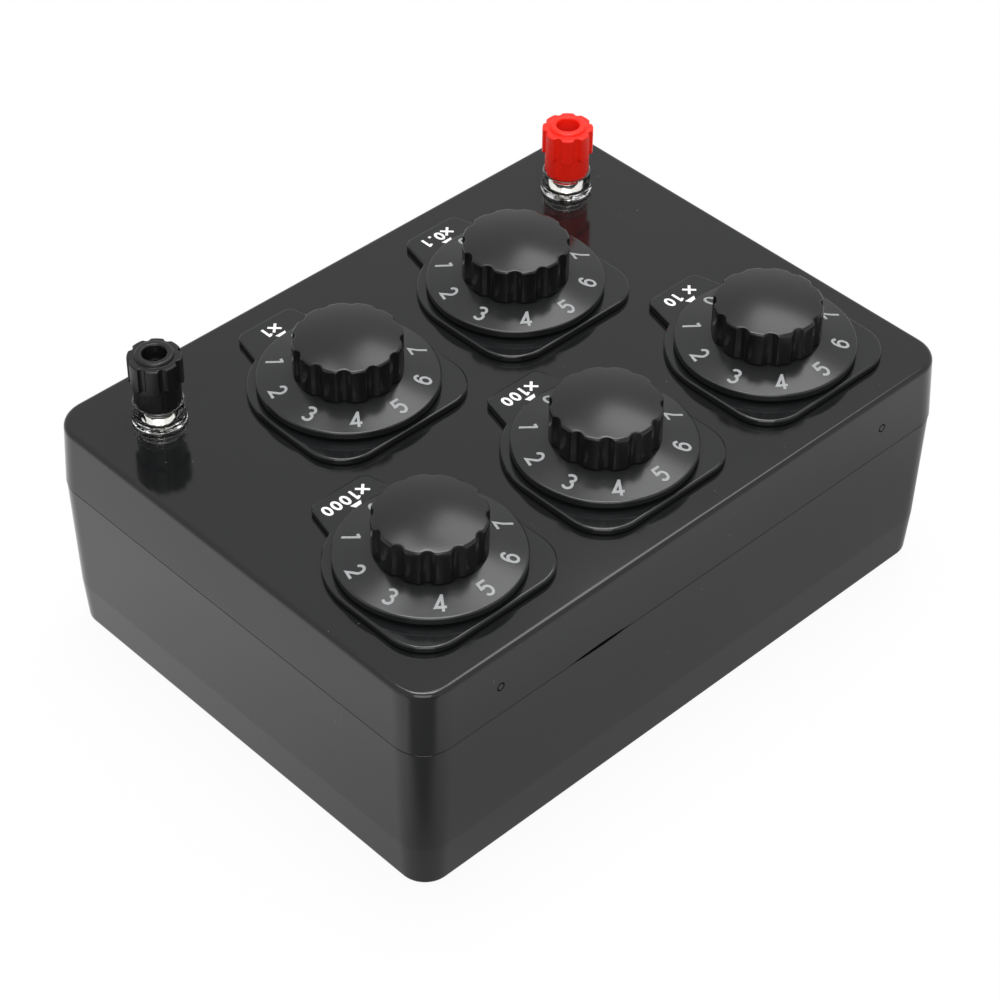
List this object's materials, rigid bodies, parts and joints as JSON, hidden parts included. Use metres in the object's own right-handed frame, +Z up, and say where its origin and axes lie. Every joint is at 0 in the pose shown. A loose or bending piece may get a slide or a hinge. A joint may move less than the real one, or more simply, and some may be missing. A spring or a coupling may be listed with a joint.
{
  "type": "decade resistance box",
  "caption": "Bench resistance box: rotary decade switches under numbered dials on a moulded two-part case, with a pair of screw-down binding posts.",
  "frame": {"origin": "under the middle of the case, on the surface that the rubber feet stand on", "axes": "+X to the user's right along the case's length, +Y away from the user, +Z up. The binding posts are on the user's side at -Y, red at -X and black at +X"},
  "size_m": [0.2, 0.15, 0.0951],
  "materials": {
    "case_plastic": "polished black moulded plastic",
    "plate_plastic": "polished black plate with a white label",
    "dial_plastic": "satin black disc with printed light grey digits",
    "knob_plastic": "glossy black moulded knob",
    "post_red": "bright red moulded plastic",
    "post_black": "satin black moulded plastic",
    "clear_plastic": "clear acrylic",
    "marking_white": "white print",
    "digit_grey": "light grey print",
    "nickel": "nickel plate",
    "screw_steel": "zinc-plated steel",
    "shaft_steel": "turned steel",
    "contact_brass": "rolled brass",
    "switch_body": "brown phenolic",
    "board": "green laminate",
    "foot_rubber": "black rubber",
    "lead_insulation_red": "red wire insulation",
    "lead_insulation_black": "black wire insulation"
  },
  "bodies": {
    "case": {"upper_case": "case_plastic", "lower_case": "case_plastic", "case_screw_1": "screw_steel", "case_screw_2": "screw_steel", "case_screw_3": "screw_steel", "case_screw_4": "screw_steel", "foot_1": "foot_rubber", "foot_2": "foot_rubber", "foot_3": "foot_rubber", "foot_4": "foot_rubber", "plate_tens": "plate_plastic", "plate_hundreds": "plate_plastic", "plate_thousands": "plate_plastic", "plate_tenths": "plate_plastic", "plate_units": "plate_plastic", "bush_nut_tens": "nickel", "bush_nut_hundreds": "nickel", "bush_nut_thousands": "nickel", "bush_nut_tenths": "nickel", "bush_nut_units": "nickel", "switch_tens": "switch_body", "switch_hundreds": "switch_body", "switch_thousands": "switch_body", "switch_tenths": "switch_body", "switch_units": "switch_body", "circuit_board": "board", "lead_red": "lead_insulation_red", "lead_black": "lead_insulation_black", "post_collar_red": "clear_plastic", "post_collar_black": "clear_plastic", "post_stud_red": "nickel", "post_stud_black": "nickel", "post_nut_red": "nickel", "post_nut_black": "nickel"},
    "selector_tens": {"dial_tens": "dial_plastic", "knob_tens": "knob_plastic", "shaft_tens": "shaft_steel", "wiper_tens": "contact_brass"},
    "selector_hundreds": {"dial_hundreds": "dial_plastic", "knob_hundreds": "knob_plastic", "shaft_hundreds": "shaft_steel", "wiper_hundreds": "contact_brass"},
    "selector_thousands": {"dial_thousands": "dial_plastic", "knob_thousands": "knob_plastic", "shaft_thousands": "shaft_steel", "wiper_thousands": "contact_brass"},
    "selector_tenths": {"dial_tenths": "dial_plastic", "knob_tenths": "knob_plastic", "shaft_tenths": "shaft_steel", "wiper_tenths": "contact_brass"},
    "selector_units": {"dial_units": "dial_plastic", "knob_units": "knob_plastic", "shaft_units": "shaft_steel", "wiper_units": "contact_brass"},
    "post_washer_red": {"clamp_washer_red": "nickel"},
    "post_washer_black": {"clamp_washer_black": "nickel"},
    "post_head_red": {"post_cap_red": "post_red"},
    "post_head_black": {"post_cap_black": "post_black"}
  },
  "joints": [
    {"name": "tens_turn", "type": "hinge", "parent": "case", "child": "selector_tens", "pos_m": [-0.063, 0.0385, 0.0725], "axis": [0, 0, -1], "continuous": true},
    {"name": "hundreds_turn", "type": "hinge", "parent": "case", "child": "selector_hundreds", "pos_m": [0, 0.0385, 0.0725], "axis": [0, 0, -1], "continuous": true},
    {"name": "thousands_turn", "type": "hinge", "parent": "case", "child": "selector_thousands", "pos_m": [0.063, 0.0385, 0.0725], "axis": [0, 0, -1], "continuous": true},
    {"name": "tenths_turn", "type": "hinge", "parent": "case", "child": "selector_tenths", "pos_m": [-0.0315, -0.0285, 0.0725], "axis": [0, 0, -1], "continuous": true},
    {"name": "units_turn", "type": "hinge", "parent": "case", "child": "selector_units", "pos_m": [0.0315, -0.0285, 0.0725], "axis": [0, 0, -1], "continuous": true},
    {"name": "red_post_rise", "type": "slide", "parent": "case", "child": "post_washer_red", "axis": [0, 0, 1], "range_m": [0, 0.0035]},
    {"name": "red_post_turn", "type": "hinge", "parent": "post_washer_red", "child": "post_head_red", "pos_m": [-0.077, -0.054, 0.0725], "axis": [0, 0, 1], "range_deg": [0, 1800]},
    {"name": "black_post_rise", "type": "slide", "parent": "case", "child": "post_washer_black", "axis": [0, 0, 1], "range_m": [0, 0.0035]},
    {"name": "black_post_turn", "type": "hinge", "parent": "post_washer_black", "child": "post_head_black", "pos_m": [0.077, -0.054, 0.0725], "axis": [0, 0, 1], "range_deg": [0, 1800]}
  ],
  "couplings": [
    {"joint": "red_post_rise", "follows": "red_post_turn", "m_per_rad": 0.00011141},
    {"joint": "black_post_rise", "follows": "black_post_turn", "m_per_rad": 0.00011141}
  ]
}
